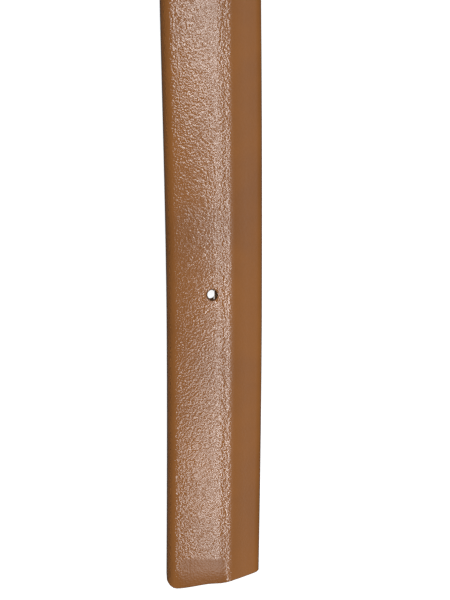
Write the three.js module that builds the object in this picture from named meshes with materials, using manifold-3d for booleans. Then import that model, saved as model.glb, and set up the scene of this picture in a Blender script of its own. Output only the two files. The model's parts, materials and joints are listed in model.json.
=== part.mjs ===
// Money belt: a strap folded from one leather sheet into a flat hollow tube, with a zipped pocket
// along its back and a roller buckle. Millimetres, +Z up. The belt lies straight along Y with its
// front face up and its tail towards -Y; the origin is on the ground under the middle of the belt.

import * as THREE from 'three';
import { mergeVertices } from 'three/addons/utils/BufferGeometryUtils.js';
import Module from 'manifold-3d';

const wasm = await Module();
wasm.setup();

// ---------------------------------------------------------------------------------------------
// Driving dimensions
// ---------------------------------------------------------------------------------------------

const FIT_GAP = 0.3; // clearance between pieces that touch or slide
const OVERLAP = 0.2; // how far joined parts of one piece run into each other
const PAST = 1; // how far a cutter runs past the face that it cuts

// Strap
const STRAP_LENGTH = 1040;
const STRAP_WIDTH = 38;
const STRAP_DEPTH = 10.5; // back to front of the folded tube
const LEATHER = 1.8;
const LEFT_LEAN = 0.8; // the left wall leans in by this much at its top
const CREASE_FROM_RIGHT = 13.4; // lengthwise crease, measured from the right edge
const RIGHT_DROP = 4; // how far the front has fallen at the right edge
const RIGHT_LEAN = 0.6;
const LEFT_TOP_RADIUS = 3.6;
const CREASE_RADIUS = 7;
const RIGHT_TOP_RADIUS = 2.4;
const BACK_EDGE_RADIUS = 2.6;
const INNER_RADIUS_LEAST = 0.5;
const ARC_STEPS = 5; // facets in a rounded corner
const SEAM_GAP = 0.4; // the sheet's two edges meet here, along the middle of the back

// Tail end
const HEM_LENGTH = 12;
const HEM_LAYER = 1.2; // the turned-in leather, pared thin
const TIP_CORNER_RADIUS = 4.5;
const TIP_MIDDLE_RISE = 1.8; // the end's middle stretch runs up to the crease by this much
const TIP_RIGHT_RISE = 6.2; // and on up to the right edge by this much
const TIP_CREASE_RADIUS = 6;
const TIP_RIGHT_RADIUS = 1.6;

// Punched hole
const HOLE_DIAMETER = 4.8;
const HOLE_FROM_TIP = 120;
const HOLE_BACK_LEFT = 1.9; // the back layer's hole sits this far left of the front layer's
const HOLE_BACK_DOWN = 1.4; // and this much nearer the tip
const HOLE_STEPS = 24;

// Pocket slot and zip
const SLOT_FROM_TIP = 330;
const SLOT_LENGTH = 440;
const SLOT_WIDTH = 16;
const TURN_IN = 7; // width of the edge turned in beside the slot
const STAY_THICKNESS = 0.7;
const STAY_WIDTH = 7;
const TAPE_THICKNESS = 0.6;
const TAPE_WIDTH = 10;
const TAPE_PAST_SLOT = 12; // tape past each end of the slot
const TEETH_WIDTH = 2.3;
const TEETH_HEIGHT = 1.8;
const TEETH_SPLIT = 1.8; // between the two rows, where the slider's wedge runs
const TEETH_FROM_SLOT_HEAD = 8; // towards the buckle
const TEETH_FROM_SLOT_TAIL = 22; // leaves room in the slot for the pull when the zip is open
const STOP_LENGTH = 2.5;
const SLIDER_LENGTH = 10;
const SLIDER_PLATE = 0.9;
const SLIDER_LIP = 0.8;
const WEDGE_LENGTH = 3;
const EAR_THICKNESS = 0.8;
const EAR_RADIUS = 1.2;
const EAR_REACH = 2.3; // ear's lowest point to the slider's lower plate, hinge eye included
const EAR_SPLIT = 3.8; // between the ears
const PIVOT_DIAMETER = 0.9;
const PULL_LENGTH = 24;
const PULL_WIDTH = 7;
const PULL_THICKNESS = 0.9;
const PULL_HOLE_DIAMETER = 3;

// Buckle
const BAR_FROM_STRAP = 7.5;
const BAR_DIAMETER = 3;
const FRAME_REACH = 27; // rear bar to front bar
const FRAME_INNER_WIDTH = 42;
const FRAME_SIDE_WIDTH = 4;
const FRAME_SIDE_HEIGHT = 6;
const FRONT_BAR_DIAMETER = 3.6;
const ROLLER_WALL = 1.2;
const PRONG_WIDTH = 3.2;
const PRONG_THICKNESS = 2.4;
const PRONG_EYE_WALL = 1.5;
const PRONG_TIP = 2.6; // prong's reach past the front bar's middle
const ROUND_STEPS = 20;

// Chape, screw posts and keeper
const CHAPE_WIDTH = 26;
const CHAPE_THICKNESS = 1.6;
const CHAPE_LENGTH = 62; // inside the strap
const POST_PITCH = 30;
const POST_FROM_STRAP_END = 13;
const POST_DIAMETER = 4;
const POST_BORE = 2.8;
const POST_FLOOR = 1.6; // solid metal under the post's bore
const SCREW_SHANK = 2.2;
const SCREW_LENGTH = 7;
const HEAD_DIAMETER = 8.4;
const HEAD_HEIGHT = 0.9;
const HEAD_SINK = 0.1; // the post's head sits this far above the ground
const KEEPER_WIDTH = 10;
const KEEPER_THICKNESS = 1.6;
const KEEPER_RADIUS = 3;
const KEEPER_ROOM = 7; // room over the strap for the tail, pressed flat
const KEEPER_FROM_STRAP_END = 28; // to the keeper's middle

// ---------------------------------------------------------------------------------------------
// Derived places
// ---------------------------------------------------------------------------------------------

const halfWidth = STRAP_WIDTH / 2;
const creaseX = halfWidth - CREASE_FROM_RIGHT;
const facetMiddleX = (creaseX - halfWidth) / 2;
const rollerInner = FRONT_BAR_DIAMETER / 2 + FIT_GAP;
const rollerOuter = rollerInner + ROLLER_WALL;
const overallLength = STRAP_LENGTH + BAR_FROM_STRAP + FRAME_REACH + rollerOuter;

const yTip = -overallLength / 2;
const yStrapEnd = yTip + STRAP_LENGTH;
const yBar = yStrapEnd + BAR_FROM_STRAP;
const yFront = yBar + FRAME_REACH;
const yHole = yTip + HOLE_FROM_TIP;
const ySlot = yTip + SLOT_FROM_TIP;
const ySlotEnd = ySlot + SLOT_LENGTH;
const yKeeper = yStrapEnd - KEEPER_FROM_STRAP_END;
const zMiddle = STRAP_DEPTH / 2;

// Heights of the zip's layers, from the slot's turned-in edges inwards
const zStay = 2 * LEATHER + FIT_GAP;
const zTape = zStay + STAY_THICKNESS + FIT_GAP;
const zTeethMiddle = zTape + TAPE_THICKNESS / 2;
const yTeeth = ySlot + TEETH_FROM_SLOT_TAIL;
const yTeethEnd = ySlotEnd - TEETH_FROM_SLOT_HEAD;
const teethInner = TEETH_SPLIT / 2;
const teethOuter = teethInner + TEETH_WIDTH;

// ---------------------------------------------------------------------------------------------
// Materials
// ---------------------------------------------------------------------------------------------

const finish = (color, roughness, metalness) => ({ color, roughness, metalness });
const LEATHER_FINISH = finish('#98683f', 0.5, 0);
const LINING_LEATHER_FINISH = finish('#8a5c36', 0.7, 0);
const TAPE_FINISH = finish('#5b4030', 0.9, 0);
const BRASS_FINISH = finish('#b8924e', 0.35, 1);
const STEEL_FINISH = finish('#b9b4aa', 0.3, 1);

// ---------------------------------------------------------------------------------------------
// Shape helpers
// ---------------------------------------------------------------------------------------------

function solidOf(geometry) {
  const bare = geometry.clone();
  bare.deleteAttribute('normal');
  bare.deleteAttribute('uv');
  const merged = mergeVertices(bare, 1e-4);
  return new wasm.Manifold(new wasm.Mesh({
    numProp: 3,
    vertProperties: new Float32Array(merged.attributes.position.array),
    triVerts: new Uint32Array(merged.index.array),
  }));
}

function node(name, solid, look) {
  const { vertProperties, triVerts } = solid.getMesh();
  const geometry = new THREE.BufferGeometry();
  geometry.setAttribute('position', new THREE.BufferAttribute(new Float32Array(vertProperties), 3));
  geometry.setIndex(new THREE.BufferAttribute(new Uint32Array(triVerts), 1));
  geometry.computeVertexNormals();
  const mesh = new THREE.Mesh(geometry, new THREE.MeshStandardMaterial(look));
  mesh.name = name;
  return mesh;
}

function box(x0, x1, y0, y1, z0, z1) {
  const geometry = new THREE.BoxGeometry(Math.abs(x1 - x0), y1 - y0, z1 - z0);
  geometry.translate((x0 + x1) / 2, (y0 + y1) / 2, (z0 + z1) / 2);
  return solidOf(geometry);
}

// A flat shape carried along one axis. alongY reads the shape as (x, z), alongX as (y, z).
function alongY(points, y0, y1) {
  const geometry = new THREE.ExtrudeGeometry(new THREE.Shape(points), { depth: y1 - y0, bevelEnabled: false });
  geometry.rotateX(Math.PI / 2);
  geometry.translate(0, y1, 0);
  return solidOf(geometry);
}

function alongX(points, x0, x1) {
  const geometry = new THREE.ExtrudeGeometry(new THREE.Shape(points), { depth: x1 - x0, bevelEnabled: false });
  geometry.applyMatrix4(new THREE.Matrix4().makeBasis(
    new THREE.Vector3(0, 1, 0), new THREE.Vector3(0, 0, 1), new THREE.Vector3(1, 0, 0)));
  geometry.translate(x0, 0, 0);
  return solidOf(geometry);
}

function alongZ(points, z0, z1) {
  const geometry = new THREE.ExtrudeGeometry(new THREE.Shape(points), { depth: z1 - z0, bevelEnabled: false });
  geometry.translate(0, 0, z0);
  return solidOf(geometry);
}

function rodAlongX(radius, x0, x1, y, z, steps = ROUND_STEPS) {
  const geometry = new THREE.CylinderGeometry(radius, radius, x1 - x0, steps);
  geometry.rotateZ(Math.PI / 2);
  geometry.translate((x0 + x1) / 2, y, z);
  return solidOf(geometry);
}

function rodAlongZ(radius, x, y, z0, z1, steps = ROUND_STEPS) {
  const geometry = new THREE.CylinderGeometry(radius, radius, z1 - z0, steps);
  geometry.rotateX(Math.PI / 2);
  geometry.translate(x, y, (z0 + z1) / 2);
  return solidOf(geometry);
}

// Corners are [x, y, radius], anticlockwise. The outline is moved inwards by inset, and each
// rounded corner shrinks with it, down to a small radius that leather can still be folded to.
function roundedOutline(corners, inset = 0) {
  const places = corners.map(([x, y]) => new THREE.Vector2(x, y));
  const count = places.length;
  const directions = places.map((p, i) => places[(i + 1) % count].clone().sub(p).normalize());
  const inward = directions.map((d) => new THREE.Vector2(-d.y, d.x));
  const points = [];
  for (let i = 0; i < count; i++) {
    const before = (i + count - 1) % count;
    const turn = Math.atan2(directions[before].cross(directions[i]), directions[before].dot(directions[i]));
    const slide = inset * Math.tan(turn / 2);
    const corner = places[i].clone().addScaledVector(inward[i], inset).addScaledVector(directions[i], slide);
    const sharp = corners[i][2] === 0;
    const radius = Math.max(corners[i][2] - inset, INNER_RADIUS_LEAST);
    if (sharp) {
      points.push(corner);
      continue;
    }
    const start = corner.clone().addScaledVector(directions[before], -radius * Math.tan(turn / 2));
    const centre = start.clone().addScaledVector(inward[before], radius);
    const first = Math.atan2(-inward[before].y, -inward[before].x);
    for (let k = 0; k <= ARC_STEPS; k++) {
      const angle = first + (turn * k) / ARC_STEPS;
      points.push(new THREE.Vector2(centre.x + radius * Math.cos(angle), centre.y + radius * Math.sin(angle)));
    }
  }
  return points;
}

// The outline of a band of even thickness along an open path.
function bandOutline(path, thickness) {
  const left = [];
  const right = [];
  path.forEach((p, i) => {
    const into = p.clone().sub(path[Math.max(i - 1, 0)]).normalize();
    const out = path[Math.min(i + 1, path.length - 1)].clone().sub(p).normalize();
    const along = into.clone().add(out).normalize();
    const across = new THREE.Vector2(-along.y, along.x);
    const reach = into.length() && out.length() ? thickness / 2 / along.dot(out) : thickness / 2;
    left.push(p.clone().addScaledVector(across, reach));
    right.push(p.clone().addScaledVector(across, -reach));
  });
  return right.concat(left.reverse());
}

// ---------------------------------------------------------------------------------------------
// Strap
// ---------------------------------------------------------------------------------------------

// The folded tube across the strap, seen from the tail: x to the right, z up.
const sectionCorners = [
  [-halfWidth, 0, BACK_EDGE_RADIUS],
  [halfWidth - RIGHT_LEAN, 0, BACK_EDGE_RADIUS],
  [halfWidth, STRAP_DEPTH - RIGHT_DROP, RIGHT_TOP_RADIUS],
  [creaseX, STRAP_DEPTH, CREASE_RADIUS],
  [-halfWidth + LEFT_LEAN, STRAP_DEPTH, LEFT_TOP_RADIUS],
];

// The strap seen from its front: the tail's end is rounded at the left and slants at the right.
const planCorners = [
  [-halfWidth, yTip, TIP_CORNER_RADIUS],
  [creaseX, yTip + TIP_MIDDLE_RISE, TIP_CREASE_RADIUS],
  [halfWidth, yTip + TIP_RIGHT_RISE, TIP_RIGHT_RADIUS],
  [halfWidth, yStrapEnd, 0],
  [-halfWidth, yStrapEnd, 0],
];

// Height of the hollow's roof at x, right of the crease, under the front's slope.
function roofHeight(x) {
  const slope = RIGHT_DROP / CREASE_FROM_RIGHT;
  return STRAP_DEPTH - slope * (x - creaseX) - LEATHER * Math.hypot(1, slope);
}

const postPlaces = [0, 1].map((i) => yStrapEnd - POST_FROM_STRAP_END - i * POST_PITCH);

function postClearance(y) {
  return rodAlongZ(POST_DIAMETER / 2 + FIT_GAP, facetMiddleX, y, -PAST, STRAP_DEPTH + PAST);
}

function makeStrapShell() {
  const outer = alongY(roundedOutline(sectionCorners), yTip, yStrapEnd);
  const hollow = alongY(roundedOutline(sectionCorners, LEATHER), yTip - PAST, yStrapEnd + PAST);
  const hemOuter = alongY(roundedOutline(sectionCorners, LEATHER - OVERLAP), yTip, yTip + HEM_LENGTH);
  const mouth = alongY(roundedOutline(sectionCorners, LEATHER + HEM_LAYER), yTip - PAST, yTip + HEM_LENGTH + PAST);
  let strap = outer.subtract(hollow).add(hemOuter.subtract(mouth));
  strap = strap.intersect(alongZ(roundedOutline(planCorners), -PAST, STRAP_DEPTH + PAST));
  strap = strap.subtract(box(-SEAM_GAP / 2, SEAM_GAP / 2, yTip - PAST, yStrapEnd + PAST, -PAST, zMiddle));
  strap = strap.subtract(box(-SLOT_WIDTH / 2, SLOT_WIDTH / 2, ySlot, ySlotEnd, -PAST, zMiddle));
  for (const side of [-1, 1]) {
    const edge = side * SLOT_WIDTH / 2;
    const turned = box(edge, edge + side * TURN_IN, ySlot, ySlotEnd, LEATHER - OVERLAP, 2 * LEATHER);
    strap = strap.add(turned);
  }
  strap = strap.subtract(rodAlongZ(HOLE_DIAMETER / 2, 0, yHole, zMiddle, STRAP_DEPTH + PAST, HOLE_STEPS));
  strap = strap.subtract(rodAlongZ(HOLE_DIAMETER / 2, -HOLE_BACK_LEFT, yHole - HOLE_BACK_DOWN, -PAST, zMiddle,
    HOLE_STEPS));
  const notch = KEEPER_WIDTH / 2 + FIT_GAP;
  strap = strap.subtract(box(-STRAP_WIDTH, STRAP_WIDTH, yKeeper - notch, yKeeper + notch, -PAST,
    KEEPER_THICKNESS + FIT_GAP));
  for (const y of postPlaces) {
    strap = strap.subtract(postClearance(y));
    strap = strap.subtract(rodAlongZ(HEAD_DIAMETER / 2 + FIT_GAP, facetMiddleX, y, -PAST,
      HEAD_SINK + HEAD_HEIGHT + FIT_GAP));
  }
  return strap;
}

// ---------------------------------------------------------------------------------------------
// Zip
// ---------------------------------------------------------------------------------------------

// A strip beside the zip's middle line, from near to far in x, on the left (-1) or the right (1).
function sideStrip(side, near, far, y0, y1, z0, z1) {
  return box(side * near, side * far, y0, y1, z0, z1);
}

function makeStay(side) {
  const near = SLOT_WIDTH / 2;
  return sideStrip(side, near, near + STAY_WIDTH, ySlot, ySlotEnd, zStay, zStay + STAY_THICKNESS);
}

// The tape stands clear of the teeth beside them, and meets the other tape past their stops.
function makeTape(side) {
  const near = teethOuter + FIT_GAP;
  const y0 = ySlot - TAPE_PAST_SLOT;
  const y1 = ySlotEnd + TAPE_PAST_SLOT;
  const stops = STOP_LENGTH + 2 * FIT_GAP;
  const ends = [[y0, yTeeth - stops], [yTeethEnd + stops, y1]];
  let tape = sideStrip(side, near, near + TAPE_WIDTH, y0, y1, zTape, zTape + TAPE_THICKNESS);
  for (const [from, to] of ends) {
    tape = tape.add(sideStrip(side, FIT_GAP / 2, near + OVERLAP, from, to, zTape, zTape + TAPE_THICKNESS));
  }
  return tape;
}

function makeTeeth(side) {
  return sideStrip(side, teethInner, teethOuter, yTeeth, yTeethEnd,
    zTeethMiddle - TEETH_HEIGHT / 2, zTeethMiddle + TEETH_HEIGHT / 2);
}

function makeTopStop(side) {
  const y = yTeethEnd + FIT_GAP;
  return sideStrip(side, teethInner, teethOuter, y, y + STOP_LENGTH,
    zTeethMiddle - TEETH_HEIGHT / 2, zTeethMiddle + TEETH_HEIGHT / 2);
}

function makeBottomStop() {
  const y = yTeeth - FIT_GAP;
  return box(-teethOuter, teethOuter, y - STOP_LENGTH, y,
    zTeethMiddle - TEETH_HEIGHT / 2, zTeethMiddle + TEETH_HEIGHT / 2);
}

// The slider rests at the closed end of the zip.
const ySliderEnd = yTeethEnd - FIT_GAP;
const ySlider = ySliderEnd - SLIDER_LENGTH;
const sliderHalf = teethOuter + FIT_GAP + SLIDER_LIP;
const zUpperPlate = zTeethMiddle + TEETH_HEIGHT / 2 + FIT_GAP;
const zLowerPlate = zTeethMiddle - TEETH_HEIGHT / 2 - FIT_GAP;
const yPivot = (ySlider + ySliderEnd) / 2;
const zPivot = zLowerPlate - SLIDER_PLATE - EAR_REACH + EAR_RADIUS;

function makeSlider() {
  const upper = box(-sliderHalf, sliderHalf, ySlider, ySliderEnd, zUpperPlate, zUpperPlate + SLIDER_PLATE);
  const lower = box(-sliderHalf, sliderHalf, ySlider, ySliderEnd, zLowerPlate - SLIDER_PLATE, zLowerPlate);
  const wedgeHalf = teethInner - FIT_GAP;
  const wedge = box(-wedgeHalf, wedgeHalf, ySliderEnd - WEDGE_LENGTH, ySliderEnd,
    zLowerPlate - OVERLAP, zUpperPlate + OVERLAP);
  let slider = upper.add(lower).add(wedge);
  const tapeTop = zTape + TAPE_THICKNESS + FIT_GAP;
  const tapeBottom = zTape - FIT_GAP;
  const near = sliderHalf - SLIDER_LIP;
  for (const side of [-1, 1]) {
    slider = slider.add(sideStrip(side, near, sliderHalf, ySlider, ySliderEnd, tapeTop, zUpperPlate + OVERLAP));
    slider = slider.add(sideStrip(side, near, sliderHalf, ySlider, ySliderEnd, zLowerPlate - OVERLAP, tapeBottom));
    const x0 = side > 0 ? EAR_SPLIT / 2 : -EAR_SPLIT / 2 - EAR_THICKNESS;
    const round = rodAlongX(EAR_RADIUS, x0, x0 + EAR_THICKNESS, yPivot, zPivot);
    const neck = box(x0, x0 + EAR_THICKNESS, yPivot - EAR_RADIUS, yPivot + EAR_RADIUS,
      zPivot, zLowerPlate - SLIDER_PLATE + OVERLAP);
    slider = slider.add(round).add(neck);
  }
  return slider.subtract(rodAlongX(PIVOT_DIAMETER / 2 + FIT_GAP, -sliderHalf, sliderHalf, yPivot, zPivot, 12));
}

// The pull's crossbar turns in the slider's ears; its tab lies back along the zip.
function makePull() {
  const barHalf = EAR_SPLIT / 2 + EAR_THICKNESS;
  const neckHalf = EAR_SPLIT / 2 - FIT_GAP;
  const shoulder = yPivot - EAR_RADIUS - FIT_GAP;
  const end = yPivot - PULL_LENGTH;
  const tab = alongZ(roundedOutline([
    [-PULL_WIDTH / 2, end, PULL_WIDTH / 3],
    [PULL_WIDTH / 2, end, PULL_WIDTH / 3],
    [PULL_WIDTH / 2, shoulder - PULL_WIDTH / 2, 1],
    [neckHalf, shoulder, 0],
    [neckHalf, yPivot, 0],
    [-neckHalf, yPivot, 0],
    [-neckHalf, shoulder, 0],
    [-PULL_WIDTH / 2, shoulder - PULL_WIDTH / 2, 1],
  ]), zPivot - PULL_THICKNESS / 2, zPivot + PULL_THICKNESS / 2);
  const crossbar = rodAlongX(PIVOT_DIAMETER / 2, -barHalf, barHalf, yPivot, zPivot, 12);
  const eye = rodAlongZ(PULL_HOLE_DIAMETER / 2, 0, end + PULL_WIDTH / 2, zPivot - PAST, zPivot + PAST);
  return tab.add(crossbar).subtract(eye);
}

// ---------------------------------------------------------------------------------------------
// Buckle, chape, screw posts and keeper
// ---------------------------------------------------------------------------------------------

const frameOuter = FRAME_INNER_WIDTH / 2 + FRAME_SIDE_WIDTH;
const barBore = BAR_DIAMETER / 2 + FIT_GAP;

function makeFrame() {
  const half = FRAME_SIDE_HEIGHT / 2;
  let frame = rodAlongX(FRONT_BAR_DIAMETER / 2, -frameOuter + OVERLAP, frameOuter - OVERLAP, yFront, zMiddle);
  for (const side of [-1, 1]) {
    const x0 = side > 0 ? FRAME_INNER_WIDTH / 2 : -frameOuter;
    const leg = alongX(roundedOutline([
      [yBar - half, zMiddle - half, half],
      [yFront + half, zMiddle - half, half],
      [yFront + half, zMiddle + half, half],
      [yBar - half, zMiddle + half, half],
    ]), x0, x0 + FRAME_SIDE_WIDTH);
    frame = frame.add(leg);
  }
  return frame.subtract(rodAlongX(barBore, -frameOuter - PAST, frameOuter + PAST, yBar, zMiddle));
}

function makeBar() {
  return rodAlongX(BAR_DIAMETER / 2, -frameOuter, frameOuter, yBar, zMiddle);
}

function makeRoller() {
  const half = FRAME_INNER_WIDTH / 2 - FIT_GAP;
  const tube = rodAlongX(rollerOuter, -half, half, yFront, zMiddle);
  return tube.subtract(rodAlongX(rollerInner, -half - PAST, half + PAST, yFront, zMiddle));
}

function makeProng() {
  const half = PRONG_WIDTH / 2;
  const zOver = zMiddle + rollerOuter + FIT_GAP + PRONG_THICKNESS / 2;
  const arm = alongX(bandOutline([
    new THREE.Vector2(yBar, zMiddle),
    new THREE.Vector2(yBar + FRAME_REACH / 3, zMiddle + (zOver - zMiddle) / 3),
    new THREE.Vector2(yFront - rollerOuter, zOver),
    new THREE.Vector2(yFront + PRONG_TIP, zOver),
  ], PRONG_THICKNESS), -half, half);
  const eye = rodAlongX(barBore + PRONG_EYE_WALL, -half, half, yBar, zMiddle);
  return arm.add(eye).subtract(rodAlongX(barBore, -half - PAST, half + PAST, yBar, zMiddle));
}

// A strip folded round the bar, with both ends inside the strap.
function makeChape() {
  const middle = CHAPE_THICKNESS / 2;
  const low = LEATHER + FIT_GAP + middle;
  const high = roofHeight(CHAPE_WIDTH / 2) - FIT_GAP - middle;
  const radius = barBore + middle;
  const inner = yStrapEnd - CHAPE_LENGTH;
  const loopStart = THREE.MathUtils.degToRad(100);
  const path = [new THREE.Vector2(inner, low), new THREE.Vector2(yStrapEnd, low)];
  const steps = 14;
  for (let k = 0; k <= steps; k++) {
    const angle = -loopStart + (2 * loopStart * k) / steps;
    path.push(new THREE.Vector2(yBar + radius * Math.cos(angle), zMiddle + radius * Math.sin(angle)));
  }
  path.push(new THREE.Vector2(yStrapEnd, high), new THREE.Vector2(inner, high));
  let chape = alongX(bandOutline(path, CHAPE_THICKNESS), -CHAPE_WIDTH / 2, CHAPE_WIDTH / 2);
  const slotHalf = PRONG_WIDTH / 2 + 2 * FIT_GAP;
  const slotStart = yBar - barBore - PRONG_EYE_WALL - 2 * FIT_GAP;
  chape = chape.subtract(box(-slotHalf, slotHalf, slotStart, yBar + BAR_FROM_STRAP, -PAST, STRAP_DEPTH + PAST));
  for (const y of postPlaces) chape = chape.subtract(postClearance(y));
  return chape;
}

function makePost(y) {
  const headTop = HEAD_SINK + HEAD_HEIGHT;
  const head = rodAlongZ(HEAD_DIAMETER / 2, facetMiddleX, y, HEAD_SINK, headTop);
  const barrel = rodAlongZ(POST_DIAMETER / 2, facetMiddleX, y, HEAD_SINK, STRAP_DEPTH);
  const bore = rodAlongZ(POST_BORE / 2, facetMiddleX, y, headTop + POST_FLOOR, STRAP_DEPTH + PAST);
  return head.add(barrel).subtract(bore);
}

function makeScrew(y) {
  const z = STRAP_DEPTH + FIT_GAP;
  const head = rodAlongZ(HEAD_DIAMETER / 2, facetMiddleX, y, z, z + HEAD_HEIGHT);
  const shank = rodAlongZ(SCREW_SHANK / 2, facetMiddleX, y, z - SCREW_LENGTH, z + HEAD_HEIGHT / 2);
  return head.add(shank);
}

function makeKeeper() {
  const innerHalf = halfWidth + FIT_GAP;
  const outerHalf = innerHalf + KEEPER_THICKNESS;
  const top = STRAP_DEPTH + KEEPER_ROOM + KEEPER_THICKNESS;
  const corners = [
    [-outerHalf, 0, KEEPER_RADIUS],
    [outerHalf, 0, KEEPER_RADIUS],
    [outerHalf, top, KEEPER_RADIUS],
    [-outerHalf, top, KEEPER_RADIUS],
  ];
  const y0 = yKeeper - KEEPER_WIDTH / 2;
  const y1 = yKeeper + KEEPER_WIDTH / 2;
  const outer = alongY(roundedOutline(corners), y0, y1);
  return outer.subtract(alongY(roundedOutline(corners, KEEPER_THICKNESS), y0 - PAST, y1 + PAST));
}

// ---------------------------------------------------------------------------------------------
// Assembly
// ---------------------------------------------------------------------------------------------

const belt = new THREE.Group();
belt.add(node('strap_shell', makeStrapShell(), LEATHER_FINISH));
for (const [word, side] of [['left', -1], ['right', 1]]) {
  belt.add(node(`zip_stay_${word}`, makeStay(side), LINING_LEATHER_FINISH));
  belt.add(node(`zip_tape_${word}`, makeTape(side), TAPE_FINISH));
  belt.add(node(`zip_teeth_${word}`, makeTeeth(side), BRASS_FINISH));
  belt.add(node(`zip_top_stop_${word}`, makeTopStop(side), BRASS_FINISH));
}
belt.add(node('zip_bottom_stop', makeBottomStop(), BRASS_FINISH));
belt.add(node('zip_slider', makeSlider(), BRASS_FINISH));
belt.add(node('zip_pull', makePull(), BRASS_FINISH));
belt.add(node('buckle_chape', makeChape(), LINING_LEATHER_FINISH));
['front', 'rear'].forEach((word, i) => {
  belt.add(node(`chape_post_${word}`, makePost(postPlaces[i]), STEEL_FINISH));
  belt.add(node(`chape_screw_${word}`, makeScrew(postPlaces[i]), STEEL_FINISH));
});
belt.add(node('fixed_keeper', makeKeeper(), LEATHER_FINISH));
belt.add(node('buckle_frame', makeFrame(), STEEL_FINISH));
belt.add(node('buckle_bar', makeBar(), STEEL_FINISH));
belt.add(node('buckle_roller', makeRoller(), STEEL_FINISH));
belt.add(node('buckle_prong', makeProng(), STEEL_FINISH));

export default belt;
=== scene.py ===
import json
import math

import bmesh
import bpy
from mathutils import Matrix, Vector


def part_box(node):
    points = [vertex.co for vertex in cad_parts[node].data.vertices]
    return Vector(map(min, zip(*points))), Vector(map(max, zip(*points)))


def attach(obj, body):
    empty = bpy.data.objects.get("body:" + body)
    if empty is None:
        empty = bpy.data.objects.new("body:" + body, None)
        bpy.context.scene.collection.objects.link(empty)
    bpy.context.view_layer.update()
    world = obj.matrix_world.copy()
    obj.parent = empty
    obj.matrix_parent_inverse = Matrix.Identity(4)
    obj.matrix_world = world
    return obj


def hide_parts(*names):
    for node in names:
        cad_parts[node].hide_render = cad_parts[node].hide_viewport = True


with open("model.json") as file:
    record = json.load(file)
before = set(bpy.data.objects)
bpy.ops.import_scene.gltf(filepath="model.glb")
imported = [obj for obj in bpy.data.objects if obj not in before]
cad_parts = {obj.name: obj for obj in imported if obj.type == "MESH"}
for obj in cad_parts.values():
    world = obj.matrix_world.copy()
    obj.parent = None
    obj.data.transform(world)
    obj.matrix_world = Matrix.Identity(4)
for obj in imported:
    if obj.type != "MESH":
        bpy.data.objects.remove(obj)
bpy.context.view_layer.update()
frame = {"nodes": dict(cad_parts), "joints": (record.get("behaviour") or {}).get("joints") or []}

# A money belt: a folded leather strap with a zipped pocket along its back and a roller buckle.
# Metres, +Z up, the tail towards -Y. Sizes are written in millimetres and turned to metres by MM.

MM = 0.001

# ---- Sizes, in millimetres ----
STRAP_HALF = 19.0
STRAP_DEPTH = 10.5
LEATHER = 1.5
CREASE_X = 4.6
RIGHT_DROP = 4.0
LEFT_LEAN = 0.8
RIGHT_LEAN = 0.6
SLOT_HALF = 8.0
SEAM_HALF = 0.12
HOLE_RADIUS = 1.95
HOLE_BACK_SHIFT = (-1.2, -1.0)  # from the front layer's hole to the back layer's, across and along
POST_X = -6.7
HEAD_RADIUS = 4.2  # of the posts and of their screws
TEETH_PITCH = 2.0

strap_low, strap_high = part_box("strap_shell")
# The end's rounded corner stops 0.4 mm short of the tip that its cutting lines start from.
Y_TIP = strap_low[1] / MM - 0.4
Y_END = strap_high[1] / MM
Y_HOLE = Y_TIP + 120.0
Y_SLOT = Y_TIP + 330.0
Y_SLOT_END = Y_SLOT + 440.0


def node_box(name):
    """A CAD node's lowest and highest corners, in millimetres."""
    low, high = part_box(name)
    return Vector(low) / MM, Vector(high) / MM


def node_middle(name):
    """The middle of a CAD node's box, in millimetres."""
    low, high = node_box(name)
    return (low + high) / 2


# ---- Small tools ----

def srgb(text):
    """A hex colour as the linear values that the shaders take."""
    parts = [int(text[i:i + 2], 16) / 255 for i in (1, 3, 5)]
    return (*[c / 12.92 if c <= 0.04045 else ((c + 0.055) / 1.055) ** 2.4 for c in parts], 1.0)


def add_node(tree, kind, inputs=None, stops=(), **settings):
    """Adds one shader node. An input that is a socket is linked, any other is set; a ramp has two stops."""
    node = tree.nodes.new(kind)
    for name, value in settings.items():
        setattr(node, name, value)
    for element, (position, colour) in zip(node.color_ramp.elements if stops else (), stops):
        element.position, element.color = position, srgb(colour)
    for name, value in (inputs or {}).items():
        if isinstance(value, bpy.types.NodeSocket):
            tree.links.new(value, node.inputs[name])
        else:
            node.inputs[name].default_value = value
    return node


def only(*pieces):
    """Selects these objects and nothing else, the first one active."""
    bpy.ops.object.select_all(action="DESELECT")
    for piece in pieces:
        piece.select_set(True)
    bpy.context.view_layer.objects.active = pieces[0]


def new_piece(name):
    """Names the object that is active, and puts its place, turn and size into its mesh."""
    piece = bpy.context.object
    piece.name = name
    piece.data.name = name
    bpy.ops.object.transform_apply(location=True, rotation=True, scale=True)
    return piece


def block(name, x0, x1, y0, y1, z0, z1):
    """A square block between two places on each axis, given in millimetres."""
    bpy.ops.object.select_all(action="DESELECT")
    bpy.ops.mesh.primitive_cube_add(
        size=1, location=((x0 + x1) / 2 * MM, (y0 + y1) / 2 * MM, (z0 + z1) / 2 * MM),
        scale=(abs(x1 - x0) * MM, abs(y1 - y0) * MM, abs(z1 - z0) * MM))
    return new_piece(name)


def rod(name, radius, start, end, sides=32):
    """A round rod between two points, given in millimetres."""
    a, b = Vector(start) * MM, Vector(end) * MM
    bpy.ops.object.select_all(action="DESELECT")
    bpy.ops.mesh.primitive_cylinder_add(
        vertices=sides, radius=radius * MM, depth=(b - a).length, location=(a + b) / 2,
        rotation=(b - a).to_track_quat("Z", "Y").to_euler())
    return new_piece(name)


def edit(piece):
    """Opens a piece in edit mode with nothing selected."""
    only(piece)
    bpy.ops.object.mode_set(mode="EDIT")
    bpy.ops.mesh.select_all(action="DESELECT")


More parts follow.
